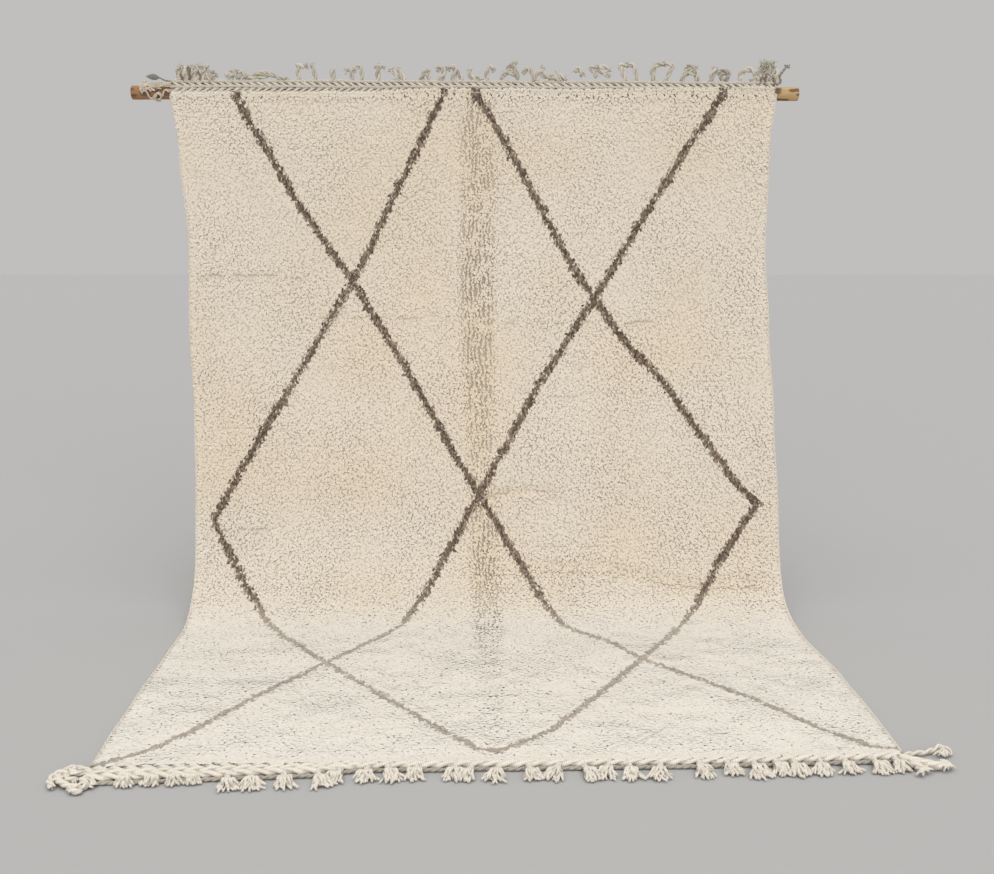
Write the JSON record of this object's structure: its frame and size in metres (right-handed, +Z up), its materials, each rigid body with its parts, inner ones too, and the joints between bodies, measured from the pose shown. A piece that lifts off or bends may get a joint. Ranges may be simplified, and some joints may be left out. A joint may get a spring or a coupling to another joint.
{
  "type": "beni ourain rug on a wooden pole",
  "caption": "Knotted wool rug with a brown diamond lattice, hung from a round wooden pole, its lower third lying flat on the floor, with a twined band and knotted fringe at each end.",
  "frame": {"origin": "on the floor, under the middle of the whole part's box", "axes": "+X to the right along the pole, -Y out over the floor on the pile's side, +Z up"},
  "size_m": [2.352, 1.6168, 1.8569],
  "materials": {
    "pile": "undyed cream wool pile with a dark brown lattice",
    "twining": "undyed wool cord, matt",
    "wood": "bare round wood, lightly worn"
  },
  "bodies": {
    "root": {"rug_field": "pile", "end_band_top": "twining", "end_band_floor": "twining", "pole": "wood"}
  },
  "joints": []
}
